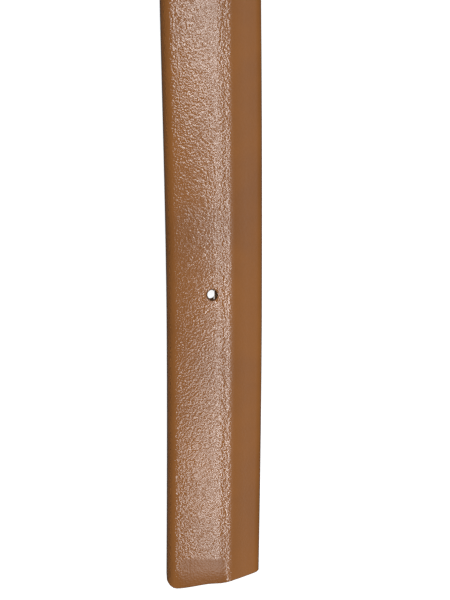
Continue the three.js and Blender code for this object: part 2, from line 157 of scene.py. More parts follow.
def done():
    bpy.ops.object.mode_set(mode="OBJECT")


def pick(piece, test, kind="FACE"):
    """In edit mode, selects the faces or edges whose middle and direction (in mm) pass the test."""
    bpy.ops.mesh.select_mode(type=kind)
    bpy.ops.mesh.select_all(action="DESELECT")
    mesh = bmesh.from_edit_mesh(piece.data)
    if kind == "FACE":
        for face in mesh.faces:
            face.select_set(bool(test(face.calc_center_median() / MM, face.normal)))
    else:
        for edge in mesh.edges:
            a, b = edge.verts[0].co, edge.verts[1].co
            if test((a + b) / 2 / MM, (b - a).normalized()):
                edge.select_set(True)
    bmesh.update_edit_mesh(piece.data)


def cut(point, normal, clear=False):
    """In edit mode, cuts the whole mesh along a plane, and clears what lies beyond it if asked."""
    bpy.ops.mesh.select_all(action="SELECT")
    bpy.ops.mesh.bisect(plane_co=Vector(point) * MM, plane_no=normal, clear_outer=clear)


def modify(piece, kind, **settings):
    """Adds one modifier and applies it."""
    only(piece)
    modifier = piece.modifiers.new(kind.title(), kind)
    for name, value in settings.items():
        setattr(modifier, name, value)
    bpy.ops.object.modifier_apply(modifier=modifier.name)


def drill(piece, *cutters):
    """Cuts these pieces away from a piece, and deletes them."""
    for cutter in cutters:
        modify(piece, "BOOLEAN", operation="DIFFERENCE", object=cutter, solver="EXACT")
        bpy.data.objects.remove(cutter)


def weld(piece, *others):
    """Joins these pieces to a piece, as one solid."""
    for other in others:
        modify(piece, "BOOLEAN", operation="UNION", object=other, solver="EXACT")
        bpy.data.objects.remove(other)


def bevel_all(piece, width, segments, angle=35):
    """Rounds every edge that is sharper than the angle. The width is in millimetres."""
    modify(piece, "BEVEL", width=width * MM, segments=segments, limit_method="ANGLE",
           angle_limit=math.radians(angle))


def fit(piece, body, material, nodes=(), smooth=35):
    """Gives a finished piece its body, finish and material, and the CAD nodes it stands for."""
    only(piece)
    bpy.ops.object.shade_smooth_by_angle(angle=math.radians(smooth))
    if material is not None:
        piece.data.materials.clear()
        piece.data.materials.append(material)
    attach(piece, body)
    if nodes:
        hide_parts(*nodes)
    return piece


# ---- Materials ----

# A wave texture of scale 1 repeats every 0.31416 m.
WAVE_REPEAT = 0.31416


def start_material(name):
    material = bpy.data.materials.new(name)
    material.use_nodes = True
    tree = material.node_tree
    tree.nodes.clear()
    place = add_node(tree, "ShaderNodeTexCoord").outputs["Object"]
    return material, tree, place


def tan_leather():
    """Cowhide with a glossed, lightly pebbled grain: a warm tan body under a broken sheen."""
    material, tree, place = start_material("glossed_tan_cowhide")
    axis = add_node(tree, "ShaderNodeSeparateXYZ", {"Vector": place}).outputs
    # The grain wanders by up to 0.6 mm over about 2.4 mm, so its pebbles are all unlike.
    wander = add_node(tree, "ShaderNodeTexNoise", {"Vector": place, "Scale": 420, "Detail": 2})
    bend = add_node(tree, "ShaderNodeVectorMath", {0: wander.outputs["Color"], "Scale": 0.6 * MM},
                    operation="SCALE")
    warped = add_node(tree, "ShaderNodeVectorMath", {0: place, 1: bend.outputs[0]}, operation="ADD").outputs[0]
    # Pebbles about 0.9 mm across, with wrinkles about 0.7 mm apart between them.
    pebble = add_node(tree, "ShaderNodeTexVoronoi", {"Vector": warped, "Scale": 1100, "Smoothness": 0.2},
                      feature="SMOOTH_F1")
    wrinkle = add_node(tree, "ShaderNodeTexNoise",
                       {"Vector": warped, "Scale": 1500, "Detail": 1, "Roughness": 0.5})
    height = add_node(tree, "ShaderNodeMath", {0: wrinkle.outputs["Fac"], 1: pebble.outputs["Distance"]},
                      operation="SUBTRACT")
    # Dye that took a little unevenly, in patches about 30 mm across.
    patch = add_node(tree, "ShaderNodeTexNoise", {"Vector": place, "Scale": 32, "Detail": 4, "Roughness": 0.6})
    dye = add_node(tree, "ShaderNodeValToRGB", {"Fac": patch.outputs["Fac"]},
                   stops=((0.3, "#845329"), (0.7, "#935e2f")))
    # The edges of the pressed patch wander by a millimetre or two.
    ragged = add_node(tree, "ShaderNodeTexNoise", {"Vector": place, "Scale": 170, "Detail": 3})
    shift = add_node(tree, "ShaderNodeMath", {0: ragged.outputs["Fac"], 1: 6.0 * MM}, operation="MULTIPLY")
    wavy_x, wavy_y = (
        add_node(tree, "ShaderNodeMath", {0: axis[name], 1: shift.outputs[0]}, operation="ADD").outputs[0]
        for name in ("X", "Y"))
    # Smooth steps: a coordinate, where the step starts and ends in millimetres, and its values there.
    # The grain is stretched nearly flat on the falling right side. The other four bound the front of
    # the hem, where the turned-in layer was glued and pressed.
    flat, hem_top, hem_left, hem_right, hem_front = (
        add_node(tree, "ShaderNodeMapRange",
                 {"Value": value, "From Min": start * MM, "From Max": end * MM, "To Min": low, "To Max": high},
                 interpolation_type="SMOOTHSTEP").outputs["Result"]
        for value, start, end, low, high in (
            (axis["X"], 4.8, 8.5, 1, 0.08),
            (wavy_y, Y_TIP + 16.0, Y_TIP + 14.6, 0, 1),
            (wavy_x, -11.5, -7.5, 0, 1),
            (wavy_x, 9.5, 6.5, 0, 1),
            (axis["Z"], 8.0, 9.0, 0, 1)))
    # The pressed hem patch: its gloss is dulled, and its colour is darkened as painted shade of the hem's fold.
    pressed = hem_top
    for side in (hem_left, hem_right, hem_front):
        pressed = add_node(tree, "ShaderNodeMath", {0: pressed, 1: side}, operation="MULTIPLY").outputs[0]
    bump = add_node(tree, "ShaderNodeBump",
                    {"Height": height.outputs[0], "Strength": flat, "Distance": 0.075 * MM})
    # Pressing dulled the gloss. The patch's colour is darkened as well, a painted shade of the hem's fold.
    gloss = add_node(tree, "ShaderNodeMapRange",
                     {"Value": patch.outputs["Fac"], "From Min": 0.3, "From Max": 0.7,
                      "To Min": 0.22, "To Max": 0.18})
    dulled = add_node(tree, "ShaderNodeMath", {0: pressed, 1: 0.22}, operation="MULTIPLY")
    roughness = add_node(tree, "ShaderNodeMath", {0: gloss.outputs[0], 1: dulled.outputs[0]}, operation="ADD")
    # Painted shade: the pressed patch's colour is multiplied by a pale warm grey, which darkens it.
    dye_with_painted_shade = add_node(tree, "ShaderNodeMix",
                           {"Factor": pressed, 6: dye.outputs["Color"], 7: srgb("#f4f0ec")},
                           data_type="RGBA", blend_type="MULTIPLY")
    shader = add_node(tree, "ShaderNodeBsdfPrincipled",
                      {"Base Color": dye_with_painted_shade.outputs[2], "Roughness": roughness.outputs[0],
                       "Normal": bump.outputs["Normal"], "IOR": 1.5})
    add_node(tree, "ShaderNodeOutputMaterial", {"Surface": shader.outputs[0]})
    return material


def flesh_leather():
    """The flesh side of the hide: short raised fibres, matt, paler and greyer than the grain side."""
    material, tree, place = start_material("split_cowhide_flesh_side")
    # Fibre clumps about 0.5 mm across, on slow colour patches about 12 mm across.
    fibre = add_node(tree, "ShaderNodeTexNoise",
                     {"Vector": place, "Scale": 2000, "Detail": 4, "Roughness": 0.7})
    patch = add_node(tree, "ShaderNodeTexNoise", {"Vector": place, "Scale": 80, "Detail": 3})
    both = add_node(tree, "ShaderNodeMath", {0: fibre.outputs["Fac"], 1: patch.outputs["Fac"]},
                    operation="ADD")
    half = add_node(tree, "ShaderNodeMath", {0: both.outputs[0], 1: 0.5}, operation="MULTIPLY")
    colour = add_node(tree, "ShaderNodeValToRGB", {"Fac": half.outputs[0]},
                      stops=((0.3, "#8a6444"), (0.7, "#b08a66")))
    bump = add_node(tree, "ShaderNodeBump",
                    {"Height": fibre.outputs["Fac"], "Strength": 0.6, "Distance": 0.25 * MM})
    shader = add_node(tree, "ShaderNodeBsdfPrincipled",
                      {"Base Color": colour.outputs["Color"], "Normal": bump.outputs["Normal"],
                       "Roughness": 0.9, "IOR": 1.45})
    add_node(tree, "ShaderNodeOutputMaterial", {"Surface": shader.outputs[0]})
    return material


def burnished_edge():
    """A cut edge rubbed with stain and wax: dark brown, with the hide's fibres faintly showing."""
    material, tree, place = start_material("waxed_leather_edge")
    # Fibres about 0.4 mm across.
    grain = add_node(tree, "ShaderNodeTexNoise",
                     {"Vector": place, "Scale": 2500, "Detail": 3, "Roughness": 0.6})
    colour = add_node(tree, "ShaderNodeValToRGB", {"Fac": grain.outputs["Fac"]},
                      stops=((0.3, "#4f2f17"), (0.7, "#7a4f2c")))
    rough = add_node(tree, "ShaderNodeMapRange",
                     {"Value": grain.outputs["Fac"], "From Min": 0.3, "From Max": 0.7,
                      "To Min": 0.5, "To Max": 0.7})
    bump = add_node(tree, "ShaderNodeBump",
                    {"Height": grain.outputs["Fac"], "Strength": 0.5, "Distance": 0.1 * MM})
    shader = add_node(tree, "ShaderNodeBsdfPrincipled",
                      {"Base Color": colour.outputs["Color"], "Roughness": rough.outputs["Result"],
                       "Normal": bump.outputs["Normal"], "IOR": 1.5})
    add_node(tree, "ShaderNodeOutputMaterial", {"Surface": shader.outputs[0]})
    return material


def chape_leather():
    """Vegetable-tanned shoulder with its natural grain: fine pores, dry, a shade darker than the strap."""
    material, tree, place = start_material("vegetable_tanned_shoulder")
    # Pores about 0.7 mm apart on wrinkles of about 1.1 mm, and colour patches about 14 mm across.
    pores = add_node(tree, "ShaderNodeTexVoronoi", {"Vector": place, "Scale": 1500}, feature="F1")
    fine = add_node(tree, "ShaderNodeTexNoise", {"Vector": place, "Scale": 900, "Detail": 4, "Roughness": 0.65})
    patch = add_node(tree, "ShaderNodeTexNoise", {"Vector": place, "Scale": 70, "Detail": 3})
    colour = add_node(tree, "ShaderNodeValToRGB", {"Fac": patch.outputs["Fac"]},
                      stops=((0.3, "#6f4524"), (0.7, "#85572f")))
    height = add_node(tree, "ShaderNodeMath", {0: pores.outputs["Distance"], 1: fine.outputs["Fac"]},
                      operation="ADD")
    rough = add_node(tree, "ShaderNodeMapRange",
                     {"Value": fine.outputs["Fac"], "From Min": 0.3, "From Max": 0.7,
                      "To Min": 0.5, "To Max": 0.7})
    bump = add_node(tree, "ShaderNodeBump",
                    {"Height": height.outputs[0], "Strength": 0.5, "Distance": 0.12 * MM})
    shader = add_node(tree, "ShaderNodeBsdfPrincipled",
                      {"Base Color": colour.outputs["Color"], "Roughness": rough.outputs["Result"],
                       "Normal": bump.outputs["Normal"], "IOR": 1.5})
    add_node(tree, "ShaderNodeOutputMaterial", {"Surface": shader.outputs[0]})
    return material


def woven_tape():
    """Brown polyester tape in a plain rib weave: close ridges along it, crossed by finer picks."""
    material, tree, place = start_material("ribbed_polyester_tape")
    # Warp ribs every 0.6 mm across the tape and picks every 0.45 mm along it.
    ribs, picks = (
        add_node(tree, "ShaderNodeTexWave", {"Vector": place, "Scale": WAVE_REPEAT / (spacing * MM)},
                 wave_type="BANDS", bands_direction=across, wave_profile="SIN").outputs["Fac"]
        for across, spacing in (("X", 0.6), ("Y", 0.45)))
    height = add_node(tree, "ShaderNodeMath", {0: ribs, 1: picks}, operation="MULTIPLY").outputs[0]
    fuzz = add_node(tree, "ShaderNodeTexNoise", {"Vector": place, "Scale": 3000, "Detail": 2})
    tone = add_node(tree, "ShaderNodeMath", {0: height, 1: fuzz.outputs["Fac"]}, operation="ADD")
    half = add_node(tree, "ShaderNodeMath", {0: tone.outputs[0], 1: 0.5}, operation="MULTIPLY")
    colour = add_node(tree, "ShaderNodeValToRGB", {"Fac": half.outputs[0]},
                      stops=((0.2, "#2f2119"), (0.75, "#6b4e3a")))
    bump = add_node(tree, "ShaderNodeBump", {"Height": height, "Strength": 0.7, "Distance": 0.15 * MM})
    shader = add_node(tree, "ShaderNodeBsdfPrincipled",
                      {"Base Color": colour.outputs["Color"], "Normal": bump.outputs["Normal"],
                       "Roughness": 0.75, "IOR": 1.5, "Sheen Weight": 0.25})
    add_node(tree, "ShaderNodeOutputMaterial", {"Surface": shader.outputs[0]})
    return material


def stay_cotton():
    """Cotton stay tape in a twill: slanting wales of matt brown yarn."""
    material, tree, place = start_material("cotton_twill_stay")
    # The pattern is turned 45 degrees, so the wales, 0.8 mm apart, climb across the tape.
    slant = add_node(tree, "ShaderNodeMapping", {"Vector": place, "Rotation": (0, 0, math.radians(45))})
    wales = add_node(tree, "ShaderNodeTexWave",
                     {"Vector": slant.outputs["Vector"], "Scale": WAVE_REPEAT / (0.8 * MM)},
                     wave_type="BANDS", bands_direction="X", wave_profile="SIN").outputs["Fac"]
    fuzz = add_node(tree, "ShaderNodeTexNoise", {"Vector": place, "Scale": 2500, "Detail": 3})
    tone = add_node(tree, "ShaderNodeMath", {0: wales, 1: fuzz.outputs["Fac"]}, operation="MULTIPLY")
    colour = add_node(tree, "ShaderNodeValToRGB", {"Fac": tone.outputs[0]},
                      stops=((0.1, "#4d3524"), (0.6, "#80603f")))
    bump = add_node(tree, "ShaderNodeBump", {"Height": wales, "Strength": 0.6, "Distance": 0.15 * MM})
    shader = add_node(tree, "ShaderNodeBsdfPrincipled",
                      {"Base Color": colour.outputs["Color"], "Normal": bump.outputs["Normal"],
                       "Roughness": 0.9, "IOR": 1.45, "Sheen Weight": 0.2})
    add_node(tree, "ShaderNodeOutputMaterial", {"Surface": shader.outputs[0]})
    return material


def worn_metal(name, dark, light, smooth, rough, scratch_axis):
    """A plated metal tumbled to a satin: clouded tone, and fine scratches all one way."""
    material, tree, place = start_material(name)
    # Clouds about 6 mm across.
    cloud = add_node(tree, "ShaderNodeTexNoise", {"Vector": place, "Scale": 160, "Detail": 4, "Roughness": 0.6})
    # Scratches about 0.2 mm apart and 4 to 5 mm long: noise squeezed along one axis.
    squeeze = add_node(tree, "ShaderNodeMapping", {"Vector": place, "Scale": scratch_axis})
    lines = add_node(tree, "ShaderNodeTexNoise",
                     {"Vector": squeeze.outputs["Vector"], "Scale": 5000, "Detail": 2, "Roughness": 0.5})
    colour = add_node(tree, "ShaderNodeValToRGB", {"Fac": cloud.outputs["Fac"]},
                      stops=((0.25, dark), (0.65, light)))
    mixed = add_node(tree, "ShaderNodeMath", {0: cloud.outputs["Fac"], 1: lines.outputs["Fac"]},
                     operation="ADD")
    roughness = add_node(tree, "ShaderNodeMapRange",
                         {"Value": mixed.outputs[0], "From Min": 0.7, "From Max": 1.3,
                          "To Min": smooth, "To Max": rough})
    bump = add_node(tree, "ShaderNodeBump",
                    {"Height": lines.outputs["Fac"], "Strength": 0.1, "Distance": 0.02 * MM})
    shader = add_node(tree, "ShaderNodeBsdfPrincipled",
                      {"Base Color": colour.outputs["Color"], "Roughness": roughness.outputs["Result"],
                       "Normal": bump.outputs["Normal"], "Metallic": 1.0})
    add_node(tree, "ShaderNodeOutputMaterial", {"Surface": shader.outputs[0]})
    return material


def waxed_thread():
    """Bonded, waxed thread of three plies: the twist shows as slanting bands with a low sheen."""
    material, tree, place = start_material("waxed_bonded_thread")
    # Plies 0.5 mm apart, slanting across the stitch.
    slant = add_node(tree, "ShaderNodeMapping", {"Vector": place, "Rotation": (0, 0, math.radians(35))})
    plies = add_node(tree, "ShaderNodeTexWave",
                     {"Vector": slant.outputs["Vector"], "Scale": WAVE_REPEAT / (0.5 * MM)},
                     wave_type="BANDS", bands_direction="Y", wave_profile="SIN").outputs["Fac"]
    colour = add_node(tree, "ShaderNodeValToRGB", {"Fac": plies}, stops=((0.1, "#8a6238"), (0.8, "#c39a63")))
    bump = add_node(tree, "ShaderNodeBump", {"Height": plies, "Strength": 0.6, "Distance": 0.08 * MM})
    shader = add_node(tree, "ShaderNodeBsdfPrincipled",
                      {"Base Color": colour.outputs["Color"], "Normal": bump.outputs["Normal"],
                       "Roughness": 0.5, "IOR": 1.5})
    add_node(tree, "ShaderNodeOutputMaterial", {"Surface": shader.outputs[0]})
    return material


# ---- The strap ----

def tail_lines():
    """The end's cutting lines, seen from the front: points and outward directions, in millimetres."""
    corner_radius, corner_steps = 4.5, 9
    # The end climbs this much from its corner to the crease, and from the crease to the right edge.
    middle_rise, right_rise = 1.8, 4.4
    crease_softening, crease_steps = 1.2, 5
    middle_slope = math.atan2(middle_rise, STRAP_HALF + CREASE_X)
    right_slope = math.atan2(right_rise, STRAP_HALF - CREASE_X)
    turn = math.pi / 2 + middle_slope
    reach = corner_radius * math.tan(turn / 2)
    centre = (-STRAP_HALF + corner_radius, Y_TIP + reach)
    lines = []
    for k in range(1, corner_steps + 1):
        angle = math.pi + turn * k / corner_steps
        out = (math.cos(angle), math.sin(angle))
        lines.append(((centre[0] + corner_radius * out[0], centre[1] + corner_radius * out[1]), out))
    between = right_slope - middle_slope
    for k in range(crease_steps + 1):
        angle = middle_slope + between * k / crease_steps
        back = crease_softening * math.sin(math.pi * k / crease_steps) * math.sin(between) / 2
        lines.append(((CREASE_X, Y_TIP + middle_rise + back), (math.sin(angle), -math.cos(angle))))
    return lines


def lengthwise(direction):
    return abs(direction.y) > 0.9


def fold_section(strap):
    """Gives the tube its section: its sides lean, its right side falls, and its folds are rounded."""
    near = 0.01
    cut((CREASE_X, 0, 0), (1, 0, 0))
    moves = (
        (lambda p: p.x > STRAP_HALF - near and p.z > STRAP_DEPTH - near, 0, -RIGHT_DROP),
        (lambda p: p.x < -STRAP_HALF + near and p.z > STRAP_DEPTH - near, LEFT_LEAN, 0),
        (lambda p: p.x > STRAP_HALF - near and p.z < near, -RIGHT_LEAN, 0),
    )
    for place, x, z in moves:
        pick(strap, lambda p, d: lengthwise(d) and place(p), "EDGE")
        bpy.ops.transform.translate(value=(x * MM, 0, z * MM))
    # Where each rounding is, how wide it is in millimetres, and its number of segments.
    roundings = (
        (lambda p: p.x < -15 and p.z > 5, 3.4, 10),
        (lambda p: abs(p.x - CREASE_X) < 0.1 and p.z > 5, 3.8, 10),
        (lambda p: p.x > 15 and p.z > 5, 1.9, 8),
        (lambda p: abs(p.x) > 15 and p.z < 0.1, 2.5, 8),
    )
    for place, width, segments in roundings:
        pick(strap, lambda p, d: lengthwise(d) and place(p), "EDGE")
        bpy.ops.mesh.bevel(offset=width * MM, segments=segments, affect="EDGES")


def divide_strap():
    """Cuts the end to its line, marks the slot and the seam, and gives the strap lines to be shaped by."""
    for x in (-SLOT_HALF, -SEAM_HALF, SEAM_HALF, SLOT_HALF):
        cut((x, 0, 0), (1, 0, 0))
    for x in range(-14, 17, 2):
        cut((x + 0.5, 0, 0), (1, 0, 0))
    for (x, y), (nx, ny) in tail_lines():
        cut((x, y, 0), (nx, ny, 0), clear=True)
    for y in (Y_SLOT, Y_SLOT_END):
        cut((0, y, 0), (0, 1, 0))
    # Cross lines are close together along the tail, and wider apart along the rest.
    start, tail_stretch, tail_count = Y_TIP + 4.0, 290.0, 72
    rest_step, rest_count = 20.0, 36
    for k in range(1, tail_count + 1):
        cut((0, start + tail_stretch * k / tail_count, 0), (0, 1, 0))
    for k in range(1, rest_count + 1):
        cut((0, start + tail_stretch + rest_step * k, 0), (0, 1, 0))


def punch_out(piece, *cutters):
    """Drills leather. The cut faces take the piece's last material, its stained edge."""
    layers = list(piece.data.materials)
    for cutter in cutters:
        for layer in layers:
            cutter.data.materials.append(layer)
        for face in cutter.data.polygons:
            face.material_index = len(layers) - 1
    drill(piece, *cutters)


def make_strap(grain, flesh, edge):
    """One sheet of leather folded into a flat tube, open along the slot and turned in at the tail."""
    strap = block("strap", -STRAP_HALF, STRAP_HALF, Y_TIP, Y_END, 0, STRAP_DEPTH)
    edit(strap)
    pick(strap, lambda p, n: abs(n.y) > 0.9)
    bpy.ops.mesh.delete(type="FACE")
    fold_section(strap)
    divide_strap()
    pick(strap, lambda p, n: p.z < 0.01 and abs(p.x) < SEAM_HALF)
    bpy.ops.mesh.delete(type="FACE")
    pick(strap, lambda p, n: p.z < 0.01 and abs(p.x) < SLOT_HALF and Y_SLOT < p.y < Y_SLOT_END)
    bpy.ops.mesh.delete(type="FACE")
    turn_in_slot_edges(strap)
    turn_in_hem(strap)
    done()
    shape_strap(strap)
    for layer in (grain, flesh, edge):
        strap.data.materials.append(layer)
    modify(strap, "SOLIDIFY", thickness=LEATHER * MM, offset=-1, use_even_offset=True,
           material_offset=1, material_offset_rim=2)
    back_x, back_y = HOLE_BACK_SHIFT[0], Y_HOLE + HOLE_BACK_SHIFT[1]
    cutters = [make_punch(),
               rod("back_punch", HOLE_RADIUS, (back_x, back_y, -2), (back_x, back_y, STRAP_DEPTH / 2), 48)]
    # The keeper passes under the back through a shallow notch.
    keeper_low, keeper_high = node_box("fixed_keeper")
    notch_play, notch_top = 0.2, 1.8
    cutters.append(block("keeper_notch", -30, 30, keeper_low.y - notch_play, keeper_high.y + notch_play,
                         -1, notch_top))
    post_hole, head_seat, seat_depth = 2.1, HEAD_RADIUS + 0.1, 1.1
    for name in ("chape_post_front", "chape_post_rear"):
        y = node_middle(name).y
        cutters.append(rod("post_hole", post_hole, (POST_X, y, -1), (POST_X, y, STRAP_DEPTH + 1), 32))
        cutters.append(rod("post_head_seat", head_seat, (POST_X, y, -1), (POST_X, y, seat_depth), 48))
    punch_out(strap, *cutters)
    return fit(strap, "strap", None, ["strap_shell"])


def make_punch():
    """The front hole's cutter: round, and flared at its top, because the punch presses the rim down."""
    punch = rod("front_punch", HOLE_RADIUS, (0, Y_HOLE, STRAP_DEPTH / 2), (0, Y_HOLE, STRAP_DEPTH - 0.75), 48)
    edit(punch)
    pick(punch, lambda p, n: n.z > 0.9)
    for rise, wider in ((0.22, 1.03), (0.18, 1.08), (0.14, 1.12)):
        extrude_by(0, 0, rise)
        bpy.ops.transform.resize(value=(wider, wider, 1), center_override=Vector((0, Y_HOLE, 0)) * MM)
    extrude_by(0, 0, 2)
    done()
    return punch


def extrude_by(x, y, z):
    bpy.ops.mesh.extrude_region_move(TRANSFORM_OT_translate={"value": (x * MM, y * MM, z * MM)})


def turn_in_slot_edges(strap):
    """The slot's long edges are folded up and back over the inside of the strap."""
    # Steps away from the slot and up, in millimetres: round the fold, then flat over the inside.
    fold = ((-0.35, 0.35), (-0.35, 1.0), (0.0, 0.9), (0.35, 0.9), (0.6, 0.3), (6.5, 0.0))
    for side in (-1, 1):
        pick(strap, lambda p, d: abs(p.x - side * SLOT_HALF) < 0.05 and p.z < 0.05 and lengthwise(d)
             and Y_SLOT < p.y < Y_SLOT_END, "EDGE")
        for out, up in fold:
            extrude_by(side * out, 0, up)


def turn_in_hem(strap):
    """The tail's end is folded in on itself, all round the mouth."""
    # Steps along the belt, and how far inside the surface each one lies, in millimetres.
    hem = ((-0.45, 0.3), (-0.35, 0.9), (0.0, 1.6), (0.35, 2.3), (0.45, 3.0), (11.5, 3.08))
    pick_rim(strap)
    before = 0.0
    for step, inset in hem:
        extrude_by(0, step, 0)
        mesh = bmesh.from_edit_mesh(strap.data)
        for vertex in mesh.verts:
            if vertex.select:
                x = vertex.co.x / MM / (1 - before / STRAP_HALF)
                middle = section_height(x) / 2
                shrink = (1 - inset / middle) / (1 - before / middle)
                vertex.co.x = x * (1 - inset / STRAP_HALF) * MM
                vertex.co.z = (middle + (vertex.co.z / MM - middle) * shrink) * MM
        bmesh.update_edit_mesh(strap.data)
        before = inset


def section_height(x):
    """The folded tube's height at x, in millimetres: level as far as the crease, then falling."""
    past = max(x - CREASE_X, 0) / (STRAP_HALF - CREASE_X)
    return STRAP_DEPTH - RIGHT_DROP * min(past, 1)


def clamp(value):
    return min(max(value, 0), 1)


def widening_at(y):
    """0 below the hole, climbing to 1 where the strap has its full width."""
    return clamp((y - Y_TIP - 110) / 130)


def tail_at(y):
    """1 along the tail, fading to 0 over the 80 mm before the slot."""
    return clamp((Y_SLOT - y) / 80)


def bow_at(y):
    """How far the strap's own bow moves its middle sideways, in millimetres."""
    bow = 0.9 * math.sin(math.pi * clamp((y - Y_TIP) / 230)) - 0.3 - 0.4 * widening_at(y)
    return bow * tail_at(y)


def pick_rim(strap):
    """Selects the open edges round the tail's mouth, but not those along the seam."""
    bpy.ops.mesh.select_mode(type="EDGE")
    bpy.ops.mesh.select_all(action="DESELECT")
    mesh = bmesh.from_edit_mesh(strap.data)
    for edge in mesh.edges:
        middle = (edge.verts[0].co + edge.verts[1].co) / 2 / MM
        along = (edge.verts[1].co - edge.verts[0].co).normalized()
        if edge.is_boundary and middle.y < Y_TIP + 9 and (not lengthwise(along) or abs(middle.x) > 14):
            edge.select_set(True)
    bmesh.update_edit_mesh(strap.data)


def shape_strap(strap):
    """Small departures of a real strap from a true one, in millimetres."""
    flare, crown_depth, hollow_depth = 0.022, 0.55, 1.1
    for vertex in strap.data.vertices:
        x, y, z = vertex.co / MM
        # The strap widens a little above the hole, and bows sideways by a millimetre.
        rise = widening_at(y)
        x = x * (1 + flare * rise * rise * (3 - 2 * rise) * tail_at(y)) + bow_at(y)
        # The front falls slowly from its left side to the crease.
        top = clamp((z - 6.0) / 3.0)
        z -= top * (crown_depth * ((x + 7) / 12) ** 2 if x < 5 else crown_depth)
        # The end's edge runs in a slight hollow between its corner and its crease.
        near_end = clamp(1 - (y - Y_TIP) / 25)
        y += hollow_depth * near_end * math.exp(-((x + 1) / 8) ** 2)
        vertex.co = Vector((x, y, z)) * MM


# ---- The keeper and the chape ----

def make_keeper(grain, edge):
    """A strip of leather closed to a loop round the strap."""
    low, high = node_box("fixed_keeper")
    middle_y = (low.y + high.y) / 2
    corner_radius, sag_depth, curl_depth = 3.2, 0.5, 0.18
    keeper = block("keeper", low.x, high.x, low.y, high.y, low.z, high.z)
    edit(keeper)
    pick(keeper, lambda p, n: abs(n.y) > 0.9)
    bpy.ops.mesh.delete(type="FACE")
    pick(keeper, lambda p, d: lengthwise(d), "EDGE")
    bpy.ops.mesh.bevel(offset=corner_radius * MM, segments=10, affect="EDGES")
    for x in range(-18, 19, 3):
        cut((x, 0, 0), (1, 0, 0))
    for k in range(1, 6):
        cut((0, low.y + (high.y - low.y) * k / 6, 0), (0, 1, 0))
    done()
    # The front stretch sags a little between its corners, and its long edges curl down.
    for vertex in keeper.data.vertices:
        x, y, z = vertex.co / MM
        if z > high.z - 0.5:
            sag = sag_depth * max(1 - (x / 15) ** 2, 0)
            curl = curl_depth * ((y - middle_y) / 5) ** 4
            vertex.co.z -= (sag + curl) * MM
    for layer in (grain, edge):
        keeper.data.materials.append(layer)
    modify(keeper, "SOLIDIFY", thickness=LEATHER * MM, offset=-1, use_even_offset=True, material_offset_rim=1)
    bevel_all(keeper, 0.3, 3, 50)
    return fit(keeper, "strap", None, ["fixed_keeper"])


def make_chape(grain, edge):
    """The leather strip that is folded round the buckle's bar, with both ends inside the strap."""
    low, high = node_box("buckle_chape")
    bar = node_middle("buckle_bar")
    # Heights of the two layers' middles in the strap, and the loop's middle radius and place.
    lower_z, upper_z, loop, loop_y = 2.9, 5.3, 2.6, bar.y - 0.4
    chape = block("chape", -high.x, high.x, low.y, Y_END, lower_z, lower_z + 1)
    edit(chape)
    # Only the block's underside is kept, as a sheet to be drawn on round the bar.
    pick(chape, lambda p, n: n.z > -0.9)
    bpy.ops.mesh.delete(type="FACE")
    pick(chape, lambda p, d: p.y > Y_END - 0.1 and abs(d.x) > 0.9, "EDGE")
    extrude_by(0, loop_y - Y_END, bar.z - loop - lower_z)
    bpy.ops.mesh.spin(steps=18, angle=math.radians(-180), center=(0, loop_y * MM, bar.z * MM), axis=(1, 0, 0))
    extrude_by(0, Y_END - loop_y, upper_z - bar.z - loop)
    extrude_by(0, low.y - Y_END, 0)
    for x in (-9, -5, 5, 9):
        cut((x, 0, 0), (1, 0, 0))
    done()
    for layer in (grain, edge):
        chape.data.materials.append(layer)
    modify(chape, "SOLIDIFY", thickness=LEATHER * MM, offset=0, use_even_offset=True, material_offset_rim=1)
    slot_half, slot_back, post_hole = 2.2, 3.9, 2.2
    cutters = [block("prong_slot", -slot_half, slot_half, bar.y - slot_back, bar.y + 8, -1, 12)]
    for name in ("chape_post_front", "chape_post_rear"):
        y = node_middle(name).y
        cutters.append(rod("post_hole", post_hole, (POST_X, y, -1), (POST_X, y, 12), 32))
    punch_out(chape, *cutters)
    bevel_all(chape, 0.25, 2, 50)
    return fit(chape, "strap", None, ["buckle_chape"])


# ---- The buckle ----

def make_frame_of_buckle(material):
    """Two cast sides, rounded all over, joined by the front bar that carries the roller."""
    low, high = node_box("buckle_frame")
    bar, front = node_middle("buckle_bar"), node_middle("buckle_roller")
    inner_half, end_radius = 21, 2.85
    # The sides are waisted to this much of their height, starting this far from each end's middle.
    waist, waist_start = 0.78, 6.5
    sides = []
    for side in (-1, 1):
        leg = block("side", side * inner_half, side * high.x, low.y, high.y, low.z, high.z)
        edit(leg)
        pick(leg, lambda p, d: abs(d.x) > 0.9, "EDGE")
        bpy.ops.mesh.bevel(offset=end_radius * MM, segments=12, affect="EDGES")
        cut((0, bar.y + waist_start, 0), (0, 1, 0))
        cut((0, front.y - waist_start, 0), (0, 1, 0))
        pick(leg, lambda p, d: abs(d.x) > 0.9 and bar.y + 6 < p.y < front.y - 6, "EDGE")
        bpy.ops.transform.resize(value=(1, 1, waist), center_override=Vector((0, 0, bar.z)) * MM)
        done()
        bevel_all(leg, 1.25, 5, 40)
        sides.append(leg)
    front_bar = rod("front_bar", 1.8, (-22, front.y, front.z), (22, front.y, front.z), 40)
    buckle = sides[0]
    buckle.name = buckle.data.name = "buckle_sides"
    weld(buckle, sides[1], front_bar)
    drill(buckle, rod("bore", 1.75, (-30, bar.y, bar.z), (30, bar.y, bar.z), 40))
    return fit(buckle, "buckle", material, ["buckle_frame"], 40)


def make_bar(material):
    """The bar that the chape and the prong turn on."""
    low, high = node_box("buckle_bar")
    middle = (low + high) / 2
    bar = rod("rear_bar", 1.5, (low.x, middle.y, middle.z), (high.x, middle.y, middle.z), 40)
    edit(bar)
    # The ends are peened over into a shallow dome, in two steps of an inset and a rise.
    for side in (-1, 1):
        pick(bar, lambda p, n: side * n.x > 0.9)
        for rise in (0.25, 0.08):
            bpy.ops.mesh.inset(thickness=0.5 * MM)
            bpy.ops.transform.translate(value=(side * rise * MM, 0, 0))
    done()
    return fit(bar, "buckle", material, ["buckle_bar"], 50)


